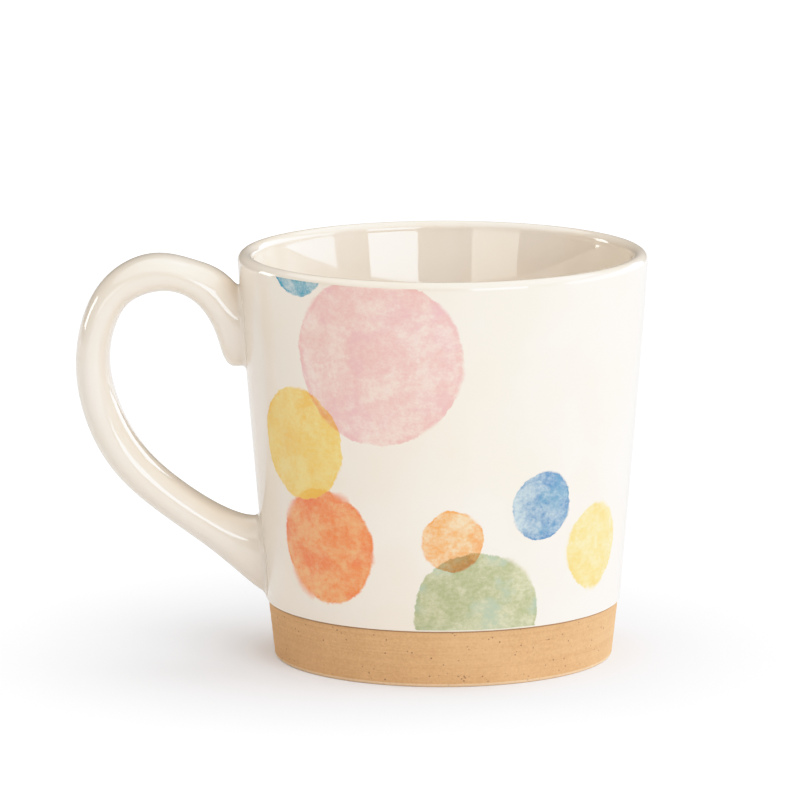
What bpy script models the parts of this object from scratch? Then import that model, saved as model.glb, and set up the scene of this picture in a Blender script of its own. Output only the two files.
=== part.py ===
"""Stoneware mug built from separate bodies: turned clay cup, handle, slip joints, glaze coats and dots.

The cup stands on z = 0 with its axis on Z, and the handle points along -X.
Every dimension below is in millimetres; MM turns it into metres.
"""

from math import asin, cos, pi, radians, sin

import bpy
import numpy as np

MM = 0.001

# Cup
CUP_HEIGHT = 99.6
RIM_RADIUS = 50.0
LIP_RADIUS = 2.0
LIP_Z = CUP_HEIGHT - LIP_RADIUS
LIP_CENTRE = RIM_RADIUS - LIP_RADIUS
GLAZE_LINE = 14.0
GLAZE_LINE_RADIUS = 43.35
WALL_BULGE = 0.2
INSIDE_TAPER = 2.2
TAPER_DEPTH = 30.0
FLOOR_Z = 6.5
FLOOR_CORNER = 9.0

# Bare foot
FOOT_TOP_RADIUS = 42.85
FOOT_RADIUS = 41.3
FOOT_CORNER = 1.0

# Layers
GLAZE = 0.5
GAP = 0.3
CLAY_DEPTH = GLAZE + GAP
SLIP = 0.6
CROP_ANGLE = asin(0.3)
RIM_COAT_ANGLE = radians(27.0)

# Handle: the outer and inner edge of each section in the XZ plane, from the upper root to the lower one
OUTER_RAIL = (
    (-45.0, 85.0),
    (-49.5, 90.5),
    (-54.5, 95.0),
    (-61.0, 97.5),
    (-69.0, 99.0),
    (-78.0, 96.5),
    (-86.5, 87.0),
    (-89.5, 68.5),
    (-83.0, 49.0),
    (-70.5, 36.0),
    (-57.0, 26.0),
    (-47.0, 17.5),
    (-43.0, 15.0),
)
INNER_RAIL = (
    (-42.5, 74.0),
    (-51.5, 71.5),
    (-55.0, 78.5),
    (-59.5, 86.5),
    (-67.0, 90.0),
    (-75.0, 88.0),
    (-79.5, 82.0),
    (-81.0, 70.0),
    (-75.0, 54.0),
    (-64.5, 43.0),
    (-54.5, 36.5),
    (-47.0, 34.0),
    (-42.0, 35.0),
)
STRAP_WIDTH = 17.0
ROOT_FLARE = 1.0
ROOT_REACH = 6.0
SECTION_POWER = 2.3
SECTION_POINTS = 14
HANDLE_STATIONS = 34

LATHE_STEPS = 48
DOT_POINTS = 26

# Dots: name, turn from the front (deg), height, half width, half height, wobble (deg), colour
DOTS = (
    ("dot_yellow_left", -47.4, 57.9, 13.8, 13.9, 20, (0.83, 0.58, 0.16)),
    ("dot_pink_large", -19.4, 80.3, 21.9, 20.8, 75, (0.84, 0.55, 0.52)),
    ("dot_orange_left", -39.4, 33.3, 14.0, 14.4, 140, (0.87, 0.33, 0.12)),
    ("dot_blue_rim", -44.5, 103.6, 9.6, 9.3, 0, (0.22, 0.45, 0.52)),
    ("dot_orange_small", 2.9, 36.4, 7.5, 7.6, 200, (0.90, 0.42, 0.14)),
    ("dot_green_low", 10.7, 18.0, 15.6, 15.6, 310, (0.52, 0.60, 0.38)),
    ("dot_blue_right", 31.3, 43.9, 8.2, 8.5, 95, (0.22, 0.40, 0.60)),
    ("dot_yellow_right", 54.1, 31.8, 9.9, 10.6, 50, (0.93, 0.76, 0.32)),
    ("dot_back_pink", 122.0, 34.0, 15.5, 15.0, 30, (0.84, 0.55, 0.52)),
    ("dot_back_yellow", 146.0, 50.0, 11.5, 11.8, 160, (0.88, 0.66, 0.22)),
    ("dot_back_blue", 131.0, 76.0, 12.0, 12.4, 250, (0.22, 0.43, 0.58)),
    ("dot_back_orange", 164.0, 76.0, 13.0, 13.2, 10, (0.88, 0.36, 0.13)),
    ("dot_back_green", 172.0, 20.0, 14.5, 14.5, 80, (0.52, 0.60, 0.38)),
    ("dot_back_peach", 197.0, 47.0, 8.5, 8.8, 120, (0.90, 0.50, 0.30)),
    ("dot_back_teal", 226.0, 66.0, 10.5, 10.2, 290, (0.24, 0.48, 0.54)),
)
# Where two dots cross, the first keeps its whole outline and the second is cut around it
CROSSINGS = (
    ("dot_yellow_left", "dot_pink_large"),
    ("dot_yellow_left", "dot_orange_left"),
    ("dot_orange_small", "dot_green_low"),
    ("dot_back_yellow", "dot_back_pink"),
)


def clear_scene():
    for old in list(bpy.data.objects):
        bpy.data.objects.remove(old, do_unlink=True)


def make_material(name, colour, roughness):
    made = bpy.data.materials.new(name)
    made.use_nodes = True
    shader = made.node_tree.nodes["Principled BSDF"]
    shader.inputs["Base Color"].default_value = (*colour, 1.0)
    shader.inputs["Roughness"].default_value = roughness
    shader.inputs["Metallic"].default_value = 0.0
    return made


def raw_clay():
    return make_material("raw_clay", (0.61, 0.37, 0.18), 0.85)


def slip():
    return make_material("slip", (0.66, 0.45, 0.27), 0.8)


def cream_glaze(name):
    return make_material(name, (0.90, 0.84, 0.74), 0.12)


def make_object(name, points, faces, edges=()):
    """An object from points in millimetres."""
    mesh = bpy.data.meshes.new(name)
    mesh.from_pydata([tuple(MM * value for value in point) for point in points], edges, faces)
    made = bpy.data.objects.new(name, mesh)
    bpy.context.scene.collection.objects.link(made)
    return made


def finish_piece(piece, material, sharp_degrees=40):
    piece.data.materials.append(material)
    piece.data.shade_smooth()
    piece.data.set_sharp_from_angle(angle=radians(sharp_degrees))


def as_cutter(piece):
    piece.hide_render = True
    piece.display_type = "WIRE"
    return piece


def lathe(name, profile, closed):
    """Turns a profile of (radius, z) points around Z with a Screw modifier."""
    count = len(profile)
    edges = [(index, index + 1) for index in range(count - 1)]
    if closed:
        edges.append((count - 1, 0))
    made = make_object(name, [(radius, 0.0, z) for radius, z in profile], [], edges)
    screw = made.modifiers.new("turn", "SCREW")
    screw.steps = LATHE_STEPS
    screw.render_steps = LATHE_STEPS
    screw.use_merge_vertices = True
    screw.merge_threshold = 0.00001
    screw.use_smooth_shade = True
    return made


def boolean(piece, other, operation):
    made = piece.modifiers.new(f"{operation.lower()}_{other.name}", "BOOLEAN")
    made.operation = operation
    made.solver = "EXACT"
    made.object = other


def wall_radius(z):
    """The glazed wall: a straight taper with a slight swell half way up."""
    share = (z - GLAZE_LINE) / (LIP_Z - GLAZE_LINE)
    taper = GLAZE_LINE_RADIUS + share * (RIM_RADIUS - GLAZE_LINE_RADIUS)
    return taper + WALL_BULGE * sin(pi * share)


def inside_radius(z):
    """The glazed inside: the wall thickens under the lip as a quarter sine, then keeps its thickness."""
    share = min(1.0, (LIP_Z - z) / TAPER_DEPTH)
    return wall_radius(z) - 2 * LIP_RADIUS - INSIDE_TAPER * sin(pi / 2.0 * share)


def lip_arc(radius, start, end, steps):
    angles = np.linspace(start, end, steps)
    return [(LIP_CENTRE + radius * cos(angle), LIP_Z + radius * sin(angle)) for angle in angles]


def wall_line(offset, z_from, z_to, steps=4):
    return [(wall_radius(z) - offset, z) for z in np.linspace(z_from, z_to, steps)]


def inside_line(depth):
    """From the middle of the floor, round its corner and up the wall to just under the lip."""
    corner_z = FLOOR_Z + FLOOR_CORNER
    corner_x = inside_radius(corner_z) - FLOOR_CORNER
    reach = FLOOR_CORNER + depth
    angles = np.linspace(-pi / 2, 0.0, 5)
    corner = [(corner_x + reach * cos(angle), corner_z + reach * sin(angle)) for angle in angles]
    heights = np.linspace(corner_z, LIP_Z, 8)[1:-1]
    wall = [(inside_radius(z) + depth, z) for z in heights]
    return [(0.0, FLOOR_Z - depth), *corner, *wall]


def cup_shell_profile():
    """The coat on the outside wall, from the crop line under the lip to the glaze line."""
    outer = lip_arc(LIP_RADIUS, CROP_ANGLE, 0.0, 2) + wall_line(0.0, LIP_Z, GLAZE_LINE)[1:]
    inner = wall_line(GLAZE, GLAZE_LINE, LIP_Z)[:-1] + lip_arc(LIP_RADIUS - GLAZE, 0.0, CROP_ANGLE, 2)
    return outer + inner


def clay_cup():
    band_top = GLAZE_LINE - GAP
    inside = inside_line(CLAY_DEPTH)
    lip = lip_arc(LIP_RADIUS - CLAY_DEPTH, pi, 0.0, 5)
    outside = wall_line(CLAY_DEPTH, LIP_Z, band_top)[1:]
    corner_angles = np.linspace(0.0, -pi / 2, 4)
    corner_x = FOOT_RADIUS - FOOT_CORNER
    corner = [(corner_x + FOOT_CORNER * cos(a), FOOT_CORNER + FOOT_CORNER * sin(a)) for a in corner_angles]
    profile = [*inside, *lip, *outside, (FOOT_TOP_RADIUS, band_top), *corner, (0.0, 0.0)]
    finish_piece(lathe("clay_cup", profile, closed=False), raw_clay())


def inner_glaze():
    front = inside_line(0.0) + lip_arc(LIP_RADIUS, pi, RIM_COAT_ANGLE, 6)
    back = inside_line(GLAZE) + lip_arc(LIP_RADIUS - GLAZE, pi, RIM_COAT_ANGLE, 6)
    finish_piece(lathe("inner_glaze", front + back[::-1], closed=False), cream_glaze("inner_glaze"))


def spline(values, at):
    """A natural cubic spline through evenly spaced values, read at the given places."""
    values = np.asarray(values, float)
    count = len(values)
    matrix = np.eye(count)
    right = np.zeros_like(values)
    for row in range(1, count - 1):
        matrix[row, row - 1 : row + 2] = (1.0, 4.0, 1.0)
        right[row] = 6.0 * (values[row - 1] - 2.0 * values[row] + values[row + 1])
    bend = np.linalg.solve(matrix, right)
    left = np.clip(np.floor(at).astype(int), 0, count - 2)
    b = (at - left)[:, None]
    a = 1.0 - b
    line = a * values[left] + b * values[left + 1]
    return line + ((a**3 - a) * bend[left] + (b**3 - b) * bend[left + 1]) / 6.0


def handle_loft(name, grow):
    """The strap's solid: rounded sections hung between the two rails, each grown by grow."""
    places = np.linspace(0.0, len(OUTER_RAIL) - 1, HANDLE_STATIONS)
    outer = spline(OUTER_RAIL, places)
    inner = spline(INNER_RAIL, places)
    middle = (outer + inner) / 2.0
    across = outer - inner
    thickness = np.linalg.norm(across, axis=1)
    across = across / thickness[:, None]
    points = []
    for centre, direction, thick in zip(middle, across, thickness):
        from_wall = max(0.0, -centre[0] - wall_radius(centre[1]))
        flare = ROOT_FLARE * max(0.0, 1.0 - from_wall / ROOT_REACH) ** 2
        half_width = (STRAP_WIDTH + flare) / 2.0 + grow
        half_thick = thick / 2.0 + grow
        for index in range(SECTION_POINTS):
            angle = 2.0 * pi * index / SECTION_POINTS
            up = np.sign(cos(angle)) * abs(cos(angle)) ** (2.0 / SECTION_POWER)
            side = np.sign(sin(angle)) * abs(sin(angle)) ** (2.0 / SECTION_POWER)
            spot = centre + direction * half_thick * up
            points.append((spot[0], half_width * side, spot[1]))
    faces = []
    for ring in range(HANDLE_STATIONS - 1):
        for index in range(SECTION_POINTS):
            follow = (index + 1) % SECTION_POINTS
            low = ring * SECTION_POINTS
            high = low + SECTION_POINTS
            faces.append((low + index, low + follow, high + follow, high + index))
    faces.append(tuple(reversed(range(SECTION_POINTS))))
    last = (HANDLE_STATIONS - 1) * SECTION_POINTS
    faces.append(tuple(last + index for index in range(SECTION_POINTS)))
    return make_object(name, points, faces)


def wall_plug(name, proud):
    """A solid cone that stands proud of the glazed wall, for cutting the handle's roots."""
    side = wall_line(-proud, CUP_HEIGHT + 8.0, 2.0, 8)
    return as_cutter(lathe(name, [(0.0, CUP_HEIGHT + 8.0), *side, (0.0, 2.0)], closed=False))


def slip_joint(name, z_low, z_high):
    """The slip that glues one root: the handle's section cut out of a thin skin on the clay wall."""
    skin = wall_line(GLAZE, z_high, z_low) + wall_line(GLAZE, z_low, z_high)
    half = len(skin) // 2
    outer = [(radius + SLIP, z) for radius, z in skin[:half]]
    pad = lathe(name, outer + skin[half:], closed=True)
    boolean(pad, as_cutter(handle_loft(f"{name}_outline", -CLAY_DEPTH)), "INTERSECT")
    finish_piece(pad, slip())


def handle():
    core = handle_loft("handle_core", -CLAY_DEPTH)
    boolean(core, wall_plug("core_plug", GAP + SLIP - GLAZE), "DIFFERENCE")
    finish_piece(core, raw_clay())
    coat = handle_loft("handle_glaze", 0.0)
    boolean(coat, as_cutter(handle_loft("coat_inside", -GLAZE)), "DIFFERENCE")
    boolean(coat, wall_plug("coat_plug", GAP), "DIFFERENCE")
    finish_piece(coat, cream_glaze("handle_glaze"))
    middle = CUP_HEIGHT / 2.0
    slip_joint("upper_joint_slip", middle, LIP_Z)
    slip_joint("lower_joint_slip", GLAZE_LINE, middle)


def dot_prism(name, dot, grow):
    """A radial prism with the dot's slightly uneven outline, which cuts the coat right through."""
    _, turn, height, half_width, half_height, wobble, _ = dot
    rings = (RIM_RADIUS - 14.0, RIM_RADIUS + 6.0)
    points = []
    for ring in rings:
        for index in range(DOT_POINTS):
            angle = 2.0 * pi * index / DOT_POINTS
            uneven = 1.0 + 0.012 * sin(3.0 * angle + radians(wobble)) + 0.008 * cos(5.0 * angle)
            along = (half_width * uneven + grow) * cos(angle)
            z = height + (half_height * uneven + grow) * sin(angle)
            bearing = radians(turn) + along / wall_radius(height)
            points.append((ring * sin(bearing), -ring * cos(bearing), z))
    inner = list(range(DOT_POINTS))
    faces = [tuple(reversed(inner)), tuple(index + DOT_POINTS for index in inner)]
    for index in inner:
        follow = (index + 1) % DOT_POINTS
        faces.append((index, follow, follow + DOT_POINTS, index + DOT_POINTS))
    return as_cutter(make_object(name, points, faces))


def coat_and_dots():
    """The outside coat, with a window for each dot and each root, and the dots that fill the windows."""
    windows = {dot[0]: dot_prism(f"{dot[0]}_window", dot, GAP) for dot in DOTS}
    coat = lathe("outer_glaze", cup_shell_profile(), closed=True)
    for window in windows.values():
        boolean(coat, window, "DIFFERENCE")
    boolean(coat, as_cutter(handle_loft("root_window", GAP - CLAY_DEPTH)), "DIFFERENCE")
    finish_piece(coat, cream_glaze("outer_glaze"))
    for dot in DOTS:
        name = dot[0]
        patch = lathe(name, cup_shell_profile(), closed=True)
        boolean(patch, dot_prism(f"{name}_outline", dot, 0.0), "INTERSECT")
        for first, second in CROSSINGS:
            if second == name:
                boolean(patch, windows[first], "DIFFERENCE")
        finish_piece(patch, make_material(name, dot[-1], 0.14))


def main():
    clear_scene()
    clay_cup()
    inner_glaze()
    handle()
    coat_and_dots()


main()
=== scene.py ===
"""Looks of the stoneware mug: bare clay body, cream glaze, looped handle and watercolour dots.

The frame is in metres with the cup's axis on Z and the handle along -X. Lengths below are in
millimetres, as in the part, and MM turns them into metres.
"""

from math import asin, cos, pi, radians, sin

import bpy
import numpy as np
from mathutils import Matrix, Vector


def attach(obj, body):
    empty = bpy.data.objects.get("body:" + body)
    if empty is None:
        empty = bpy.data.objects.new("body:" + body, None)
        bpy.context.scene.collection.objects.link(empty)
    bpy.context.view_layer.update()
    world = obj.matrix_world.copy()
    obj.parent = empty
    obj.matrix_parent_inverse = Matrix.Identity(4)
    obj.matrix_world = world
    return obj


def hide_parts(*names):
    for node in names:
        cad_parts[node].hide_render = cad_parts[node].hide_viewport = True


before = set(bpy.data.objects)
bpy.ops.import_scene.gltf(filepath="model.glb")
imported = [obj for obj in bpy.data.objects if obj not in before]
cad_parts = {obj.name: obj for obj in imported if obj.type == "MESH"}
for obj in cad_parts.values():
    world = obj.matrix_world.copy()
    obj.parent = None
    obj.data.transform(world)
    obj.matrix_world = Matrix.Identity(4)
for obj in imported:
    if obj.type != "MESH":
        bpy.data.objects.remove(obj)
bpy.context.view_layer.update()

MM = 0.001

# Cup, as in the part
CUP_HEIGHT = 99.6
RIM_RADIUS = 50.0
LIP_RADIUS = 2.0
LIP_Z = CUP_HEIGHT - LIP_RADIUS
LIP_CENTRE = RIM_RADIUS - LIP_RADIUS
GLAZE_LINE = 14.0
GLAZE_LINE_RADIUS = 43.35
WALL_BULGE = 0.2
INSIDE_TAPER = 2.2
TAPER_DEPTH = 30.0
FLOOR_Z = 6.5
FLOOR_CORNER = 9.0
FOOT_TOP_RADIUS = 42.85
FOOT_RADIUS = 41.3
FOOT_CHAMFER = 0.7
GLAZE = 0.5
CLAY_DEPTH = 0.8
CROP_ANGLE = asin(0.3)
CROP_Z = LIP_Z + LIP_RADIUS * sin(CROP_ANGLE)

# Handle rails, as in the part
OUTER_RAIL = (
    (-45.0, 85.0),
    (-49.5, 90.5),
    (-54.5, 95.0),
    (-61.0, 97.5),
    (-69.0, 99.0),
    (-78.0, 96.5),
    (-86.5, 87.0),
    (-89.5, 68.5),
    (-83.0, 49.0),
    (-70.5, 36.0),
    (-57.0, 26.0),
    (-47.0, 17.5),
    (-43.0, 15.0),
)
INNER_RAIL = (
    (-42.5, 74.0),
    (-51.5, 71.5),
    (-55.0, 78.5),
    (-59.5, 86.5),
    (-67.0, 90.0),
    (-75.0, 88.0),
    (-79.5, 82.0),
    (-81.0, 70.0),
    (-75.0, 54.0),
    (-64.5, 43.0),
    (-54.5, 36.5),
    (-47.0, 34.0),
    (-42.0, 35.0),
)
STRAP_WIDTH = 17.0
SECTION_POWER = 2.3
FILLET = 1.3

# Fineness of the surfaces
TURN_STEPS = 512
SECTION_STEPS = 96
STATIONS = 420
PATCH_RINGS = 36
PATCH_SPOKES = 180

# Dots: name, turn from the front (deg), height, half width, half height, wash, crossing dot
DOTS = (
    ("dot_yellow_left", -47.4, 57.9, 13.8, 13.9, "yellow", ("dot_pink_large", "dot_orange_left")),
    ("dot_pink_large", -19.4, 80.3, 21.9, 20.8, "pink", ("dot_yellow_left",)),
    ("dot_orange_left", -39.4, 33.3, 14.0, 14.4, "orange", ("dot_yellow_left",)),
    ("dot_blue_rim", -44.5, 103.6, 9.6, 9.3, "teal", ()),
    ("dot_orange_small", 2.9, 36.4, 7.5, 7.6, "apricot", ("dot_green_low",)),
    ("dot_green_low", 10.7, 18.0, 15.6, 15.6, "green", ("dot_orange_small",)),
    ("dot_blue_right", 31.3, 43.9, 8.2, 8.5, "blue", ()),
    ("dot_yellow_right", 54.1, 31.8, 9.9, 10.6, "lemon", ()),
    ("dot_back_pink", 122.0, 34.0, 15.5, 15.0, "pink", ("dot_back_yellow",)),
    ("dot_back_yellow", 146.0, 50.0, 11.5, 11.8, "yellow", ("dot_back_pink",)),
    ("dot_back_blue", 131.0, 76.0, 12.0, 12.4, "blue", ()),
    ("dot_back_orange", 164.0, 76.0, 13.0, 13.2, "orange", ()),
    ("dot_back_green", 172.0, 20.0, 14.5, 14.5, "green", ()),
    ("dot_back_peach", 197.0, 47.0, 8.5, 8.8, "apricot", ()),
    ("dot_back_teal", 226.0, 66.0, 10.5, 10.2, "teal", ()),
)
# Washes. The slot is the part's material slot. Thin, deep and second are pigments that tint the glaze.
# Tide is the dark line inside the outline, softness the blur of the outline, drift the deepening
# towards the right, and sink how far the second pigment gathers at the bottom, or at the top below 0.
WASHES = {
    "yellow": {
        "slot": "yellow_wash",
        "thin": (1.0, 0.9, 0.4),
        "deep": (1.0, 0.72, 0.17),
        "second": (1.0, 0.64, 0.12),
        "tide": 0.4,
        "softness": 0.012,
        "drift": 0.05,
        "sink": -0.7,
    },
    "pink": {
        "slot": "pink_wash",
        "thin": (1.0, 0.91, 0.92),
        "deep": (0.93, 0.6, 0.63),
        "second": (0.92, 0.58, 0.68),
        "tide": 0.6,
        "softness": 0.008,
        "drift": 0.04,
        "sink": -0.2,
    },
    "orange": {
        "slot": "orange_wash",
        "thin": (1.0, 0.62, 0.3),
        "deep": (1.0, 0.27, 0.06),
        "second": (0.97, 0.19, 0.05),
        "tide": 0.35,
        "softness": 0.026,
        "drift": 0.02,
        "sink": -0.6,
    },
    "apricot": {
        "slot": "orange_wash",
        "thin": (1.0, 0.9, 0.68),
        "deep": (1.0, 0.44, 0.11),
        "second": (1.0, 0.38, 0.1),
        "tide": 0.5,
        "softness": 0.014,
        "drift": 0.06,
        "sink": 0.9,
    },
    "teal": {
        "slot": "teal_wash",
        "thin": (0.72, 0.88, 0.96),
        "deep": (0.04, 0.37, 0.62),
        "second": (0.12, 0.5, 0.66),
        "tide": 0.4,
        "softness": 0.014,
        "drift": -0.05,
        "sink": 0.0,
    },
    "green": {
        "slot": "green_wash",
        "thin": (0.73, 0.79, 0.6),
        "deep": (0.42, 0.5, 0.27),
        "second": (0.46, 0.66, 0.6),
        "tide": 0.5,
        "softness": 0.012,
        "drift": -0.1,
        "sink": 0.9,
    },
    "blue": {
        "slot": "blue_wash",
        "thin": (0.56, 0.76, 0.93),
        "deep": (0.08, 0.27, 0.63),
        "second": (0.15, 0.42, 0.7),
        "tide": 0.35,
        "softness": 0.014,
        "drift": 0.26,
        "sink": 0.0,
    },
    "lemon": {
        "slot": "yellow_wash",
        "thin": (1.0, 0.91, 0.58),
        "deep": (1.0, 0.75, 0.27),
        "second": (1.0, 0.71, 0.23),
        "tide": 0.35,
        "softness": 0.02,
        "drift": -0.05,
        "sink": 0.8,
    },
}
# Where a dot lies over one of these washes the two pigments pool into this tint; others show through
POOLED = {"orange": (1.0, 0.80, 0.30)}
DOT_MARGIN = 1.2
PATCH_PROUD = 0.012
PATCH_DEPTH = 0.15
DOT_COORDS = "dot_mm"
CROSS_COORDS = "cross_mm"


# ---------------------------------------------------------------- surfaces


def wrapped_surface(name, rows, start=None, end=None, loop=False):
    """A closed skin over rows of points, each row a ring. It is closed by a point at the start and
    at the end, or by running the last row back into the first."""
    count, width, _ = rows.shape
    first = 0 if start is None else 1
    points = [rows.reshape(-1, 3)]
    if start is not None:
        points.insert(0, np.array([start], float))
    if end is not None:
        points.append(np.array([end], float))
    points = np.concatenate(points)
    spans = count if loop else count - 1
    row = np.arange(spans)[:, None]
    column = np.arange(width)[None, :]
    after = (column + 1) % width
    low = first + row * width
    high = first + ((row + 1) % count) * width
    quads = np.stack(np.broadcast_arrays(low + column, low + after, high + after, high + column), -1)
    faces = quads.reshape(-1, 4)
    ring = np.arange(width)
    caps = []
    if start is not None:
        caps.append(np.stack([np.zeros(width, int), first + (ring + 1) % width, first + ring], -1))
    if end is not None:
        last = first + (count - 1) * width
        tip = np.full(width, len(points) - 1)
        caps.append(np.stack([last + ring, last + (ring + 1) % width, tip], -1))
    corners = points[faces]
    triangles = np.concatenate([corners[:, [0, 1, 2]], corners[:, [0, 2, 3]]])
    if caps:
        triangles = np.concatenate([triangles, points[np.concatenate(caps)]])
    volume = np.einsum("ij,ij->i", triangles[:, 0], np.cross(triangles[:, 1], triangles[:, 2])).sum()
    if volume < 0.0:
        faces = faces[:, ::-1]
        caps = [cap[:, ::-1] for cap in caps]
    mesh = bpy.data.meshes.new(name)
    polygons = faces.tolist() + [triangle for cap in caps for triangle in cap.tolist()]
    mesh.from_pydata((points * MM).tolist(), [], polygons)
    mesh.shade_smooth()
    mesh.set_sharp_from_angle(angle=radians(50.0))
    made = bpy.data.objects.new(name, mesh)
    bpy.context.scene.collection.objects.link(made)
    return made


def store_coords(piece, name, values):
    """Keeps a pair of millimetre coordinates with each point of a piece, for its pattern."""
    layer = piece.data.attributes.new(name, "FLOAT_VECTOR", "POINT")
    flat = np.zeros((len(values), 3))
    flat[:, :2] = values
    layer.data.foreach_set("vector", flat.ravel())


def wall_radius(z):
    """The glazed wall: a straight taper with a slight swell half way up."""
    share = (z - GLAZE_LINE) / (LIP_Z - GLAZE_LINE)
    taper = GLAZE_LINE_RADIUS + share * (RIM_RADIUS - GLAZE_LINE_RADIUS)
    return taper + WALL_BULGE * np.sin(pi * share)


def inside_radius(z):
    """The glazed inside: the wall thickens under the lip as a quarter sine, then keeps its thickness."""
    share = np.minimum(1.0, (LIP_Z - z) / TAPER_DEPTH)
    return wall_radius(z) - 2 * LIP_RADIUS - INSIDE_TAPER * np.sin(pi / 2.0 * share)


def hand_wave(bearing, z):
    """How far the turned wall strays from true: three slow waves round and up, in millimetres."""
    sway = 0.035 * np.sin(2.0 * bearing + 0.9 + z / 31.0)
    sway = sway + 0.018 * np.sin(5.0 * bearing - z / 17.0)
    return sway + 0.010 * np.sin(z / 4.3 + np.sin(bearing))


def fade_to_ends(z):
    """1 over the middle of the wall and 0 at the glaze line and the lip, with smooth shoulders."""
    near = np.minimum(z - GLAZE_LINE, LIP_Z - z)
    share = np.clip(near / 8.0, 0.0, 1.0)
    return share * share * (3.0 - 2.0 * share)


def outside_point(bearing, z, offset):
    """A point on the glazed outside, offset outwards: the turned wall, and the lip's arc above it."""
    lift = np.clip((z - LIP_Z) / LIP_RADIUS, 0.0, 1.0)
    lip = LIP_CENTRE + LIP_RADIUS * np.sqrt(1.0 - lift * lift)
    radius = np.where(z > LIP_Z, lip, wall_radius(np.minimum(z, LIP_Z)))
    radius = radius + hand_wave(bearing, z) * fade_to_ends(z) + offset
    return np.stack([radius * np.sin(bearing), -radius * np.cos(bearing), z + 0.0 * bearing], -1)


def turn(profile, relief=None):
    """Turns a profile of (radius, z) rows round Z. Relief adds to the radius by bearing and height."""
    profile = np.asarray(profile, float)
    bearing = np.linspace(0.0, 2.0 * pi, TURN_STEPS, endpoint=False)[None, :]
    radius = profile[:, :1] + 0.0 * bearing
    z = profile[:, 1:] + 0.0 * bearing
    if relief is not None:
        radius = radius + relief(bearing, z)
    return np.stack([radius * np.sin(bearing), -radius * np.cos(bearing), z], -1)


def arc(centre, radius, start, end, steps):
    """Points on a circle between two angles, given in degrees."""
    angles = np.radians(np.linspace(start, end, steps))
    return np.stack([centre[0] + radius * np.cos(angles), centre[1] + radius * np.sin(angles)], -1)


def wall_rows(offset, z_from, z_to, steps):
    """Evenly spaced profile rows down or up the glazed wall, set in from it by an offset."""
    z = np.linspace(z_from, z_to, steps)
    return np.stack([wall_radius(z) - offset, z], -1)


def inside_rows(depth, steps):
    """From near the middle of the floor, round its corner and up the wall to just under the lip."""
    corner_z = FLOOR_Z + FLOOR_CORNER
    corner_x = inside_radius(corner_z) - FLOOR_CORNER
    spokes = np.linspace(1.0, corner_x, 24, endpoint=False)
    floor = np.stack([spokes, np.full_like(spokes, FLOOR_Z - depth)], -1)
    corner = arc((corner_x, corner_z), FLOOR_CORNER + depth, -90.0, 0.0, 20)
    z = np.linspace(corner_z, LIP_Z, steps)[1:-1]
    wall = np.stack([inside_radius(z) + depth, z], -1)
    return np.concatenate([floor, corner, wall])


def turning_marks(bearing, z):
    """The bare band's turning lines: fine rings of three spacings, drifting a little round the foot."""
    drift = 0.12 * np.sin(bearing + 0.7) + 0.05 * np.sin(3.0 * bearing)
    height = z + drift
    fine = 0.012 * np.sin(2.0 * pi * height / 0.62) * (0.6 + 0.4 * np.sin(height / 1.9))
    broad = 0.018 * np.sin(2.0 * pi * height / 2.7 + 0.5)
    groove = -0.055 * np.exp(-(((height - 9.6) / 0.16) ** 2))
    groove = groove - 0.04 * np.exp(-(((height - 8.7) / 0.14) ** 2))
    low = np.clip((z - 1.0) / 0.8, 0.0, 1.0)
    high = np.clip((GLAZE_LINE - z) / 0.6, 0.0, 1.0)
    return (fine + broad + groove) * low * high


def clay_body(finish):
    """Bare clay: the foot band with its turning lines, and the wall and floor under the glaze."""
    inside = inside_rows(CLAY_DEPTH, 20)
    lip = arc((LIP_CENTRE, LIP_Z), LIP_RADIUS - CLAY_DEPTH, 180.0, 0.0, 12)
    under_glaze = wall_rows(CLAY_DEPTH, LIP_Z, GLAZE_LINE + 1.4, 16)[1:]
    z = np.linspace(GLAZE_LINE + 1.0, 1.0, 118)
    share = np.clip(z / (GLAZE_LINE - 0.3), 0.0, 1.0)
    band = np.stack([FOOT_RADIUS + (FOOT_TOP_RADIUS - FOOT_RADIUS) * share, z], -1)
    corner = arc((FOOT_RADIUS + 0.11 - FOOT_CHAMFER, FOOT_CHAMFER), FOOT_CHAMFER, 0.0, -90.0, 10)
    rest = np.stack([np.linspace(FOOT_RADIUS - 2.0, 1.0, 8), np.zeros(8)], -1)
    profile = np.concatenate([inside, lip, under_glaze, band, corner, rest])
    rows = turn(profile, lambda bearing, height: turning_marks(bearing, height) * (height < GLAZE_LINE))
    made = wrapped_surface("clay_body", rows, (0.0, 0.0, FLOOR_Z - CLAY_DEPTH), (0.0, 0.0, 0.0))
    made.data.materials.append(finish)
    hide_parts("clay_cup")
    return made


def outside_coat(finish):
    """The outside glaze: wall, a soft bead where it ends at the glaze line, and its inner face."""
    lip = arc((LIP_CENTRE, LIP_Z), LIP_RADIUS - 0.004, 35.0, 0.0, 10)
    wall = wall_rows(0.0, LIP_Z, GLAZE_LINE + 0.6, 150)[1:]
    bead_centre = (GLAZE_LINE_RADIUS - GLAZE * 0.62, GLAZE_LINE + 0.36)
    bead = arc(bead_centre, 0.36, 20.0, -100.0, 12)
    back = wall_rows(CLAY_DEPTH - 0.1, GLAZE_LINE + 0.4, LIP_Z, 30)
    back_lip = arc((LIP_CENTRE, LIP_Z), LIP_RADIUS - CLAY_DEPTH + 0.1, 0.0, 35.0, 6)[1:]
    profile = np.concatenate([lip, wall, bead, back, back_lip])

    def relief(bearing, z):
        return hand_wave(bearing, z) * fade_to_ends(z)

    made = wrapped_surface("outside_glaze", turn(profile, relief), loop=True)
    made.data.materials.append(finish)
    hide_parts("outer_glaze")
    return made


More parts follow.
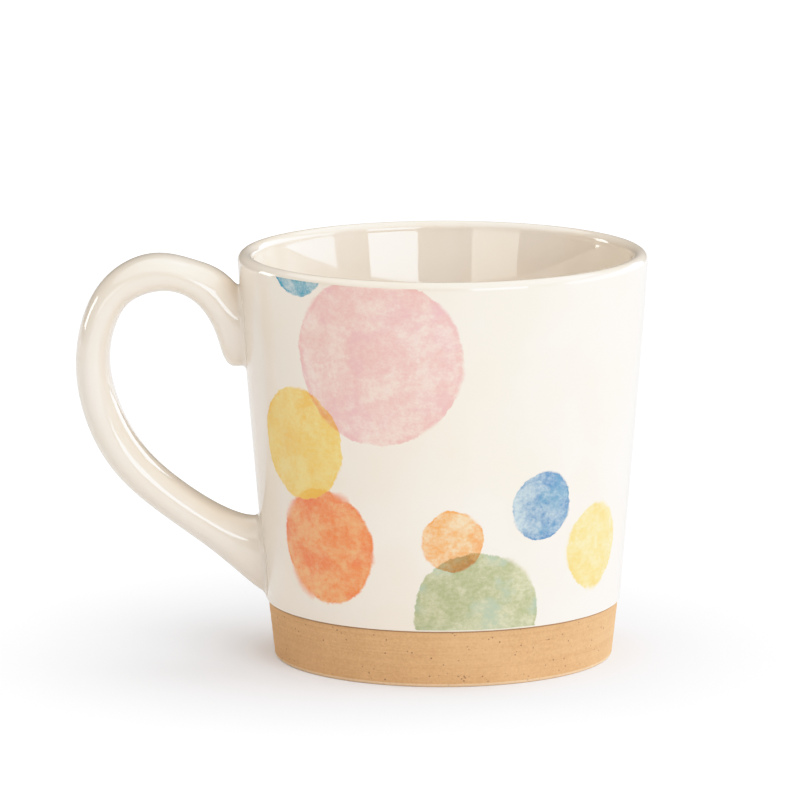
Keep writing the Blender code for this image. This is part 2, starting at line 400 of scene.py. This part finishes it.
def inside_coat(finish):
    """The inside glaze: floor, wall and rolled lip, running down over the outside coat's top edge."""
    front = [inside_rows(0.0, 110), arc((LIP_CENTRE, LIP_Z), LIP_RADIUS, 180.0, 18.0, 44)]
    back = [inside_rows(GLAZE, 30), arc((LIP_CENTRE, LIP_Z), LIP_RADIUS - GLAZE, 180.0, 18.0, 16)]
    profile = np.concatenate([*front, np.concatenate(back)[::-1]])

    def relief(bearing, z):
        return 0.6 * hand_wave(bearing + 1.7, z) * fade_to_ends(z)

    start = (0.0, 0.0, FLOOR_Z)
    end = (0.0, 0.0, FLOOR_Z - GLAZE)
    made = wrapped_surface("inside_glaze", turn(profile, relief), start, end)
    made.data.materials.append(finish)
    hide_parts("inner_glaze")
    return made


def spline(values, at):
    """A natural cubic spline through evenly spaced values, read at the given places."""
    values = np.asarray(values, float)
    count = len(values)
    matrix = np.eye(count)
    right = np.zeros_like(values)
    for row in range(1, count - 1):
        matrix[row, row - 1 : row + 2] = (1.0, 4.0, 1.0)
        right[row] = 6.0 * (values[row - 1] - 2.0 * values[row] + values[row + 1])
    bend = np.linalg.solve(matrix, right)
    left = np.clip(np.floor(at).astype(int), 0, count - 2)
    b = (at - left)[:, None]
    a = 1.0 - b
    line = a * values[left] + b * values[left + 1]
    return line + ((a**3 - a) * bend[left] + (b**3 - b) * bend[left + 1]) / 6.0


def handle_coat(finish):
    """The strap: rounded sections hung between two rails, closely spaced at the roots. Near the wall
    each point moves along the wall by a quarter circle's formula, which makes the fillet."""
    share = np.linspace(0.0, 1.0, STATIONS)
    places = (share - 0.8 * np.sin(2.0 * pi * share) / (2.0 * pi)) * (len(OUTER_RAIL) - 1)
    outer = spline(OUTER_RAIL, places)
    inner = spline(INNER_RAIL, places)
    middle = (outer + inner) / 2.0
    across = outer - inner
    thick = np.linalg.norm(across, axis=1)
    across = across / thick[:, None]
    angle = np.linspace(0.0, 2.0 * pi, SECTION_STEPS, endpoint=False)
    up = np.sign(np.cos(angle)) * np.abs(np.cos(angle)) ** (2.0 / SECTION_POWER)
    side = np.sign(np.sin(angle)) * np.abs(np.sin(angle)) ** (2.0 / SECTION_POWER)
    reach = thick[:, None] / 2.0 * up[None, :]
    wide = STRAP_WIDTH / 2.0 + 0.06 * np.sin(places * 1.9)
    x = middle[:, :1] + across[:, :1] * reach
    y = wide[:, None] * side[None, :]
    z = middle[:, 1:] + across[:, 1:] * reach
    rows = np.stack([x, y, z], -1)
    from_wall = np.hypot(x, y) - wall_radius(np.clip(z, GLAZE_LINE, LIP_Z))
    near = np.clip((FILLET - from_wall) / FILLET, 0.0, 1.0)
    spread = FILLET * (1.0 - np.sqrt(np.clip(1.0 - near * near, 0.0, 1.0)))
    away_z = across[:, 1:] * up[None, :]
    away_y = side[None, :] + 0.0 * away_z
    length = np.hypot(away_z, away_y) + 1e-9
    rows[..., 1] += spread * away_y / length
    rows[..., 2] += spread * away_z / length
    start = (middle[0, 0], 0.0, middle[0, 1])
    end = (middle[-1, 0], 0.0, middle[-1, 1])
    made = wrapped_surface("handle_strap", rows, start, end)
    made.data.materials.append(finish)
    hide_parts("handle_glaze")
    return made


def dot_rims(pole_z, centre_z, half_width, half_height, spokes):
    """How far each spoke from the pole runs: to the margin's ellipse, the crop line or the glaze line."""
    wide = half_width + DOT_MARGIN
    tall = half_height + DOT_MARGIN
    across = np.cos(spokes)
    up = np.sin(spokes)
    drop = pole_z - centre_z
    a = (across / wide) ** 2 + (up / tall) ** 2
    b = 2.0 * drop * up / tall**2
    c = (drop / tall) ** 2 - 1.0
    run = (-b + np.sqrt(b * b - 4.0 * a * c)) / (2.0 * a)
    top = np.where(up > 1e-6, (CROP_Z - pole_z) / np.maximum(up, 1e-6), np.inf)
    bottom = np.where(up < -1e-6, (pole_z - GLAZE_LINE - 0.2) / np.maximum(-up, 1e-6), np.inf)
    return np.minimum(run, np.minimum(top, bottom))


def dot_patch(order, dot, finish):
    """A dot: a thin solid patch on the wall, spokes and rings out from a pole inside its outline."""
    name, turned, height, half_width, half_height, wash, crossing = dot
    pole_z = min(max(height, GLAZE_LINE + 4.0), CROP_Z - 2.2)
    spokes = np.linspace(0.0, 2.0 * pi, PATCH_SPOKES, endpoint=False)
    rims = dot_rims(pole_z, height, half_width, half_height, spokes)
    share = np.linspace(0.0, 1.0, PATCH_RINGS + 1)[1:, None]
    along = share * (rims * np.cos(spokes))[None, :]
    z = pole_z + share * (rims * np.sin(spokes))[None, :]
    scale = wall_radius(height)
    bearing = radians(turned) + along / scale
    proud = PATCH_PROUD * (2.0 - 0.5 * (order % 3))
    top = outside_point(bearing, z, proud)
    bottom = outside_point(bearing, z, -PATCH_DEPTH)[::-1]
    pole_bearing = np.array(radians(turned))
    start = outside_point(pole_bearing, np.array(pole_z), proud)
    end = outside_point(pole_bearing, np.array(pole_z), -PATCH_DEPTH)
    made = wrapped_surface(name + "_wash", np.concatenate([top, bottom]), start, end)
    turns = np.concatenate([[radians(turned)], bearing.ravel(), bearing[::-1].ravel(), [radians(turned)]])
    heights = np.concatenate([[pole_z], z.ravel(), z[::-1].ravel(), [pole_z]])
    own = np.stack([(turns - radians(turned)) * scale, heights - height], -1)
    store_coords(made, DOT_COORDS, own)
    for index, other in enumerate(crossing):
        _, other_turned, other_height, *_ = next(row for row in DOTS if row[0] == other)
        cross = (turns - radians(other_turned)) * wall_radius(other_height)
        store_coords(made, f"{CROSS_COORDS}_{index}", np.stack([cross, heights - other_height], -1))
    made.data.materials.append(finish)
    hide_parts(name)
    return made


# ---------------------------------------------------------------- materials


class Graph:
    """Adds and links the nodes of one material or node group."""

    def __init__(self, tree):
        self.tree = tree

    def node(self, kind, inputs=None, **settings):
        made = self.tree.nodes.new(kind)
        for key, value in settings.items():
            setattr(made, key, value)
        for key, value in (inputs or {}).items():
            self.feed(made.inputs[key], value)
        return made

    def feed(self, socket, value):
        if isinstance(value, bpy.types.NodeSocket):
            self.tree.links.new(value, socket)
        else:
            socket.default_value = value

    def maths(self, operation, *values, clamp=False):
        made = self.node("ShaderNodeMath", operation=operation, use_clamp=clamp)
        for index, value in enumerate(values):
            self.feed(made.inputs[index], value)
        return made.outputs[0]

    def mix(self, factor, first, second, blend="MIX"):
        made = self.node("ShaderNodeMix", data_type="RGBA", blend_type=blend)
        self.feed(made.inputs["Factor"], factor)
        self.feed(made.inputs["A"], first)
        self.feed(made.inputs["B"], second)
        return made.outputs["Result"]

    def noise(self, vector, scale, detail=3.0, roughness=0.55):
        inputs = {"Vector": vector, "Scale": scale, "Detail": detail, "Roughness": roughness}
        return self.node("ShaderNodeTexNoise", inputs).outputs["Fac"]

    def ramp(self, value, low, high):
        inputs = {"Value": value, "From Min": low, "From Max": high}
        made = self.node("ShaderNodeMapRange", inputs, interpolation_type="SMOOTHSTEP")
        return made.outputs["Result"]


def shader_group(name, inputs, outputs):
    """An empty node group with its sockets: (name, kind, default) for inputs, (name, kind) for outputs."""
    tree = bpy.data.node_groups.new(name, "ShaderNodeTree")
    for label, kind, default in inputs:
        socket = tree.interface.new_socket(label, in_out="INPUT", socket_type=kind)
        socket.default_value = default
    for label, kind in outputs:
        tree.interface.new_socket(label, in_out="OUTPUT", socket_type=kind)
    graph = Graph(tree)
    return graph, graph.node("NodeGroupInput").outputs, graph.node("NodeGroupOutput").inputs


def rgba(colour):
    """A colour with full opacity."""
    return (*colour, 1.0)


def glaze_body_group():
    """Cream glaze: slow mottling, scarce pin specks, and the unevenness of a dipped coat."""
    inputs = [
        ("Thin", "NodeSocketColor", rgba((0.88, 0.82, 0.72))),
        ("Thick", "NodeSocketColor", rgba((1, 1, 1))),
    ]
    outputs = [("Color", "NodeSocketColor"), ("Roughness", "NodeSocketFloat"), ("Height", "NodeSocketFloat")]
    graph, given, out = shader_group("glaze_body", inputs, outputs)
    place = graph.node("ShaderNodeTexCoord").outputs["Object"]
    slow = graph.ramp(graph.noise(place, 38.0, 3.0), 0.3, 0.7)
    colour = graph.mix(slow, given["Thin"], given["Thick"])
    cells = graph.node("ShaderNodeTexVoronoi", {"Vector": place, "Scale": 210.0})
    pin = graph.ramp(cells.outputs["Distance"], 0.07, 0.03)
    chosen = graph.ramp(graph.noise(place, 55.0, 1.0), 0.66, 0.70)
    speck = graph.maths("MULTIPLY", graph.maths("MULTIPLY", pin, chosen), 0.35)
    colour = graph.mix(speck, colour, rgba((0.55, 0.42, 0.28)))
    rough = graph.node(
        "ShaderNodeMapRange", {"Value": graph.noise(place, 90.0, 2.0), "To Min": 0.03, "To Max": 0.06}
    )
    swell = graph.maths("MULTIPLY", graph.noise(place, 55.0, 1.0), 0.8)
    ripple = graph.maths("MULTIPLY", graph.noise(place, 260.0, 2.0), 0.08)
    graph.feed(out["Color"], colour)
    graph.feed(out["Roughness"], rough.outputs["Result"])
    graph.feed(out["Height"], graph.maths("ADD", swell, ripple))
    return graph.tree


def wash_group():
    """A watercolour dot: frayed outline, tide line, blooms, paper grain and a second colour."""
    inputs = [
        ("Vector", "NodeSocketVector", (0, 0, 0)),
        ("Half Width", "NodeSocketFloat", 10.0),
        ("Half Height", "NodeSocketFloat", 10.0),
        ("Seed", "NodeSocketFloat", 0.0),
        ("Softness", "NodeSocketFloat", 0.012),
        ("Tide", "NodeSocketFloat", 0.4),
        ("Drift", "NodeSocketFloat", 0.0),
        ("Sink", "NodeSocketFloat", 0.0),
        ("Thin", "NodeSocketColor", rgba((1, 1, 1))),
        ("Deep", "NodeSocketColor", rgba((1, 1, 1))),
        ("Second", "NodeSocketColor", rgba((1, 1, 1))),
    ]
    outputs = [("Color", "NodeSocketColor"), ("Cover", "NodeSocketFloat")]
    graph, given, out = shader_group("watercolour_wash", inputs, outputs)
    parts = graph.node("ShaderNodeSeparateXYZ", {"Vector": given["Vector"]}).outputs
    across = graph.maths("DIVIDE", parts["X"], given["Half Width"])
    up = graph.maths("DIVIDE", parts["Y"], given["Half Height"])
    square = graph.maths("ADD", graph.maths("MULTIPLY", across, across), graph.maths("MULTIPLY", up, up))
    reach = graph.maths("SQRT", square)
    seed = graph.node("ShaderNodeCombineXYZ", {"Z": given["Seed"]}).outputs["Vector"]
    moved = graph.node("ShaderNodeVectorMath", {0: given["Vector"], 1: seed}, operation="ADD")
    place = moved.outputs["Vector"]

    def stray(scale, detail, millimetres):
        centred = graph.maths("SUBTRACT", graph.noise(place, scale, detail, 0.65), 0.5)
        return graph.maths("DIVIDE", graph.maths("MULTIPLY", centred, millimetres), given["Half Width"])

    edge = graph.maths("ADD", reach, graph.maths("ADD", stray(0.14, 2.0, 1.9), stray(1.0, 5.0, 1.25)))
    soft_spot = graph.ramp(graph.noise(place, 0.11, 1.0), 0.45, 0.65)
    softer = graph.maths("MULTIPLY", soft_spot, 3.6)
    soft = graph.maths("MULTIPLY_ADD", softer, given["Softness"], given["Softness"])
    mask = graph.ramp(edge, graph.maths("ADD", 0.985, soft), graph.maths("SUBTRACT", 0.985, soft))
    bloom = graph.ramp(graph.noise(place, 0.17, 5.0, 0.66), 0.39, 0.61)
    streaks = graph.node("ShaderNodeMapping", {"Vector": place, "Scale": (0.85, 1.1, 1.0)}).outputs["Vector"]
    grain = graph.ramp(graph.noise(streaks, 0.9, 5.0, 0.78), 0.34, 0.66)
    lean = graph.maths("MULTIPLY", across, given["Drift"])
    depth = graph.maths("MULTIPLY_ADD", bloom, 0.48, graph.maths("MULTIPLY_ADD", grain, 0.42, 0.12))
    depth = graph.maths("ADD", depth, lean)
    inner = graph.ramp(edge, 0.90, 0.97)
    patchy = graph.ramp(graph.noise(place, 0.25, 3.0), 0.40, 0.58)
    tide = graph.maths("MULTIPLY", graph.maths("MULTIPLY", inner, patchy), given["Tide"])
    depth = graph.maths("ADD", depth, tide, clamp=True)
    sunk = graph.maths("MULTIPLY", graph.maths("MULTIPLY", up, -1.0), given["Sink"], clamp=True)
    second = graph.maths("ADD", graph.ramp(graph.noise(place, 0.13, 3.0), 0.50, 0.66), sunk)
    second = graph.maths("MULTIPLY", graph.maths("MULTIPLY", second, 0.75), depth, clamp=True)
    pigment = graph.mix(second, graph.mix(depth, given["Thin"], given["Deep"]), given["Second"])
    graph.feed(out["Color"], graph.mix(mask, rgba((1, 1, 1)), pigment))
    graph.feed(out["Cover"], mask)
    return graph.tree


def clay_grain_group():
    """Bare fired clay: turning lines round Z, fine grain, dark iron specks and pores, a dark band under the
    glaze line that is partly painted shade and partly darker clay, and a light band on the foot's bottom
    edge that is partly a painted highlight and partly wear.
    """
    inputs = [("Pale", "NodeSocketColor", rgba((1, 1, 1))), ("Deep", "NodeSocketColor", rgba((1, 1, 1)))]
    outputs = [("Color", "NodeSocketColor"), ("Roughness", "NodeSocketFloat"), ("Height", "NodeSocketFloat")]
    graph, given, out = shader_group("clay_grain", inputs, outputs)
    place = graph.node("ShaderNodeTexCoord").outputs["Object"]
    squash = graph.node("ShaderNodeMapping", {"Vector": place, "Scale": (6.0, 6.0, 1400.0)})
    rings = graph.noise(squash.outputs["Vector"], 1.0, 3.0, 0.6)
    cloud = graph.noise(place, 70.0, 3.0)
    sand = graph.noise(place, 1500.0, 3.0, 0.7)
    tone = graph.maths("ADD", graph.maths("MULTIPLY", rings, 0.25), graph.maths("MULTIPLY", cloud, 0.30))
    tone = graph.ramp(graph.maths("ADD", tone, graph.maths("MULTIPLY", sand, 0.45)), 0.34, 0.66)
    colour = graph.mix(tone, given["Deep"], given["Pale"])
    cells = graph.node("ShaderNodeTexVoronoi", {"Vector": place, "Scale": 800.0})
    dots = graph.ramp(cells.outputs["Distance"], 0.22, 0.12)
    chosen = graph.ramp(graph.noise(place, 330.0, 1.0), 0.53, 0.59)
    speck = graph.maths("MULTIPLY", dots, chosen)
    colour = graph.mix(graph.maths("MULTIPLY", speck, 0.7), colour, rgba((0.16, 0.08, 0.04)))
    level = graph.node("ShaderNodeSeparateXYZ", {"Vector": place}).outputs["Z"]
    # A dark band just under the glaze line: partly painted shade under the glaze's edge, partly darker clay
    # where the glaze ends
    dark_clay_and_shade_at_glaze_line = graph.ramp(level, (GLAZE_LINE - 0.55) * MM, (GLAZE_LINE - 0.1) * MM)
    colour = graph.mix(graph.maths("MULTIPLY", dark_clay_and_shade_at_glaze_line, 0.75), colour, rgba((0.20, 0.10, 0.05)))
    # A lighter band on the foot's rounded bottom edge below 1 mm: partly a painted highlight of the light
    # floor on the edge, partly smoothed, worn clay
    foot_edge_highlight_and_wear = graph.maths("MULTIPLY", graph.ramp(level, 1.0 * MM, 0.6 * MM), 0.45)
    colour = graph.mix(foot_edge_highlight_and_wear, colour, rgba((0.92, 0.74, 0.52)))
    height = graph.maths("ADD", graph.maths("MULTIPLY", rings, 0.5), graph.maths("MULTIPLY", sand, 0.4))
    height = graph.maths("SUBTRACT", height, graph.maths("MULTIPLY", speck, 0.4))
    rough = graph.node("ShaderNodeMapRange", {"Value": sand, "To Min": 0.74, "To Max": 0.92})
    graph.feed(out["Color"], colour)
    graph.feed(out["Roughness"], rough.outputs["Result"])
    graph.feed(out["Height"], height)
    return graph.tree


def new_material(name):
    """A material with only its Principled shader, and the graph that adds to it."""
    made = bpy.data.materials.new(name)
    made.use_nodes = True
    return made, Graph(made.node_tree), made.node_tree.nodes["Principled BSDF"]


def bumped(graph, shader, height, distance):
    """Feeds a height, in metres of relief, to a shader as its normal."""
    bump = graph.node("ShaderNodeBump", {"Height": height, "Distance": distance, "Strength": 1.0})
    graph.feed(shader.inputs["Normal"], bump.outputs["Normal"])


GLAZE_THIN = (0.850, 0.748, 0.618)
GLAZE_THICK = (0.868, 0.783, 0.680)


def glazed(graph, shader, body):
    """Places the glaze body in a material and returns its colour."""
    coat = graph.node("ShaderNodeGroup", node_tree=body)
    coat.inputs["Thin"].default_value = rgba(GLAZE_THIN)
    coat.inputs["Thick"].default_value = rgba(GLAZE_THICK)
    graph.feed(shader.inputs["Roughness"], coat.outputs["Roughness"])
    shader.inputs["IOR"].default_value = 1.62
    bumped(graph, shader, coat.outputs["Height"], 0.00005)
    return coat.outputs["Color"]


def cream_glaze(name, body):
    """The plain cream glaze of the coats and the handle."""
    made, graph, shader = new_material(name)
    graph.feed(shader.inputs["Base Color"], glazed(graph, shader, body))
    return made


def wash_nodes(graph, group, dot, layer):
    """One dot's wash, read from the coordinates stored under the layer's name: its colour and cover."""
    name, _, height, half_width, half_height, wash, _ = dot
    look = WASHES[wash]
    stored = graph.node("ShaderNodeAttribute", attribute_name=layer).outputs["Vector"]
    made = graph.node("ShaderNodeGroup", {"Vector": stored}, node_tree=group)
    values = {"Half Width": half_width, "Half Height": half_height, "Seed": height * 3.7}
    values.update({key.title(): look[key] for key in ("softness", "tide", "drift", "sink")})
    values.update({key.title(): rgba(look[key]) for key in ("thin", "deep", "second")})
    for key, value in values.items():
        made.inputs[key].default_value = value
    return made.outputs["Color"], made.outputs["Cover"]


def dot_glaze(dot, body, wash):
    """Cream glaze tinted by the dot's own wash, and by each wash that crosses it."""
    made, graph, shader = new_material(dot[0] + "_glaze")
    colour = glazed(graph, shader, body)
    own, cover = wash_nodes(graph, wash, dot, DOT_COORDS)
    colour = graph.mix(1.0, colour, own, "MULTIPLY")
    for index, other in enumerate(dot[6]):
        neighbour = next(row for row in DOTS if row[0] == other)
        crossed, covered = wash_nodes(graph, wash, neighbour, f"{CROSS_COORDS}_{index}")
        if neighbour[5] in POOLED:
            pooled = graph.mix(covered, rgba((1, 1, 1)), rgba(POOLED[neighbour[5]]))
            crossed = graph.mix(cover, crossed, pooled)
        colour = graph.mix(1.0, colour, crossed, "MULTIPLY")
    graph.feed(shader.inputs["Base Color"], colour)
    return made


def clay_finish(name, grain, pale, deep):
    """Bare or slipped clay, between a pale and a deep colour."""
    made, graph, shader = new_material(name)
    fired = graph.node("ShaderNodeGroup", node_tree=grain)
    fired.inputs["Pale"].default_value = rgba(pale)
    fired.inputs["Deep"].default_value = rgba(deep)
    graph.feed(shader.inputs["Base Color"], fired.outputs["Color"])
    graph.feed(shader.inputs["Roughness"], fired.outputs["Roughness"])
    bumped(graph, shader, fired.outputs["Height"], 0.00012)
    return made


# ---------------------------------------------------------------- studio


def studio_floor():
    """A pale floor. Its faint glow is painted light that reaches only the camera, so it whitens the floor
    and lights nothing; the glow is weak near the mug, which leaves a painted shade round the foot.
    """
    mesh = bpy.data.meshes.new("studio_floor")
    reach = 30.0
    corners = [(-reach, -reach, 0.0), (reach, -reach, 0.0), (reach, reach, 0.0), (-reach, reach, 0.0)]
    mesh.from_pydata(corners, [], [(0, 1, 2, 3)])
    made = bpy.data.objects.new("studio_floor", mesh)
    bpy.context.scene.collection.objects.link(made)
    finish, graph, shader = new_material("studio_floor_paint")
    place = graph.node("ShaderNodeTexCoord").outputs["Object"]
    tone = graph.mix(graph.noise(place, 3.0), rgba((0.83, 0.84, 0.86)), rgba((0.85, 0.86, 0.88)))
    graph.feed(shader.inputs["Base Color"], tone)
    shader.inputs["Roughness"].default_value = 0.9
    shader.inputs["Specular IOR Level"].default_value = 0.1
    # Painted light: the glow is weak within 0.05 m of a point 8 mm towards the handle from the axis and full
    # beyond 0.155 m, so the floor round the foot stays darker as painted shade
    centred = graph.node("ShaderNodeMapping", {"Vector": place, "Location": (0.008, 0.0, 0.0)})
    length = graph.node("ShaderNodeVectorMath", {0: centred.outputs["Vector"]}, operation="LENGTH")
    away = length.outputs["Value"]
    glow = graph.mix(graph.ramp(away, 0.05, 0.155), rgba((0.065, 0.072, 0.082)), rgba((0.60, 0.61, 0.62)))
    graph.feed(shader.inputs["Emission Color"], glow)
    seen = graph.node("ShaderNodeLightPath").outputs["Is Camera Ray"]
    graph.feed(shader.inputs["Emission Strength"], seen)
    made.data.materials.append(finish)


def softbox(name, azimuth, elevation, distance, width, height, strength, colour=(1.0, 1.0, 1.0)):
    """A rectangular light. Azimuth is from the front towards +X, and it faces the mug."""
    light = bpy.data.lights.new(name, "AREA")
    light.shape = "RECTANGLE"
    light.size = width
    light.size_y = height
    light.energy = strength * width * height
    light.color = colour
    made = bpy.data.objects.new(name, light)
    bpy.context.scene.collection.objects.link(made)
    aim = Vector((0.0, 0.0, 0.06))
    turned = radians(azimuth)
    tilted = radians(elevation)
    spot = Vector((sin(turned) * cos(tilted), -cos(turned) * cos(tilted), sin(tilted))) * distance
    made.location = aim + spot
    made.rotation_euler = (-spot).to_track_quat("-Z", "Y").to_euler()
    made.visible_camera = False


def studio_light():
    """A dim warm room, a broad light overhead, and four softboxes that the glaze reflects."""
    world = bpy.data.worlds.new("studio_air")
    world.use_nodes = True
    graph = Graph(world.node_tree)
    back = world.node_tree.nodes["Background"]
    seen = graph.node("ShaderNodeLightPath").outputs["Is Camera Ray"]
    colour = graph.mix(seen, rgba((1.0, 0.85, 0.66)), rgba((1.0, 1.0, 1.0)))
    graph.feed(back.inputs["Color"], colour)
    graph.feed(back.inputs["Strength"], graph.maths("MULTIPLY_ADD", seen, 1.91, 0.09))
    bpy.context.scene.world = world
    overhead = bpy.data.lights.new("overhead", "SUN")
    overhead.angle = radians(100.0)
    overhead.energy = 2.5
    hung = bpy.data.objects.new("overhead", overhead)
    bpy.context.scene.collection.objects.link(hung)
    hung.location = (0.0, 0.0, 2.0)
    softbox("key_right", 32.0, 20.0, 1.7, 0.97, 0.80, 17.0, (0.96, 1.0, 1.07))
    softbox("side_right", 112.0, 15.0, 1.7, 2.8, 0.85, 11.2, (0.96, 1.0, 1.08))
    softbox("fill_left", -34.0, 12.0, 1.7, 0.9, 0.5, 8.2, (1.0, 0.94, 0.86))
    softbox("edge_left", -117.0, 12.0, 1.8, 0.42, 0.5, 26.0, (1.0, 0.95, 0.85))


# Light level against level shown; the ends, 0 to 0 and the top to 1, are the curve's own
SHOULDER_TOP = 1.35
SHOULDER = ((0.40, 0.40), (0.64, 0.62), (0.80, 0.755), (1.0, 0.89), (1.2, 0.965))
CAMERA_SPOT = Vector((0.0, -1.7179, 0.37305))
CAMERA_AIM = Vector((-0.0105, 0.0, 0.0627))
CAMERA_ROLL = radians(-0.14)
CAMERA_LENS = 321.6


def camera():
    """A long lens a little above the rim, turned slightly so that the mug stands upright."""
    lens = bpy.data.cameras.new("studio_camera")
    lens.lens = CAMERA_LENS
    lens.sensor_width = 36.0
    lens.clip_start = 0.01
    lens.clip_end = 100.0
    made = bpy.data.objects.new("studio_camera", lens)
    bpy.context.scene.collection.objects.link(made)
    facing = (CAMERA_AIM - CAMERA_SPOT).to_track_quat("-Z", "Y").to_matrix().to_4x4()
    made.matrix_world = Matrix.Translation(CAMERA_SPOT) @ facing @ Matrix.Rotation(CAMERA_ROLL, 4, "Z")
    bpy.context.scene.camera = made


# ---------------------------------------------------------------- making


def soft_shoulder():
    """A plain display response that bends over gently above mid tones, so the pale glaze keeps its tone."""
    view = bpy.context.scene.view_settings
    view.view_transform = "Standard"
    view.use_curve_mapping = True
    mapping = view.curve_mapping
    mapping.white_level = (SHOULDER_TOP, SHOULDER_TOP, SHOULDER_TOP)
    curve = mapping.curves[3]
    for light, shown in SHOULDER:
        curve.points.new(light / SHOULDER_TOP, shown)
    mapping.update()


def build():
    """Makes the studio, the finishes and every piece, and dresses the nodes carried over from the part."""
    soft_shoulder()
    camera()
    studio_floor()
    studio_light()
    body = glaze_body_group()
    wash = wash_group()
    grain = clay_grain_group()
    raw = clay_finish("raw_clay_finish", grain, (0.725, 0.425, 0.20), (0.59, 0.32, 0.135))
    joint = clay_finish("slip_finish", grain, (0.72, 0.52, 0.33), (0.60, 0.40, 0.23))
    cream = cream_glaze("cream_glaze_finish", body)
    pieces = [clay_body(raw), outside_coat(cream), inside_coat(cream), handle_coat(cream)]
    for order, dot in enumerate(DOTS):
        pieces.append(dot_patch(order, dot, dot_glaze(dot, body, wash)))
    for piece in pieces:
        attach(piece, "root")
    carried = {"handle_core": raw, "upper_joint_slip": joint, "lower_joint_slip": joint}
    for name, finish in carried.items():
        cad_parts[name].material_slots[0].material = finish


build()
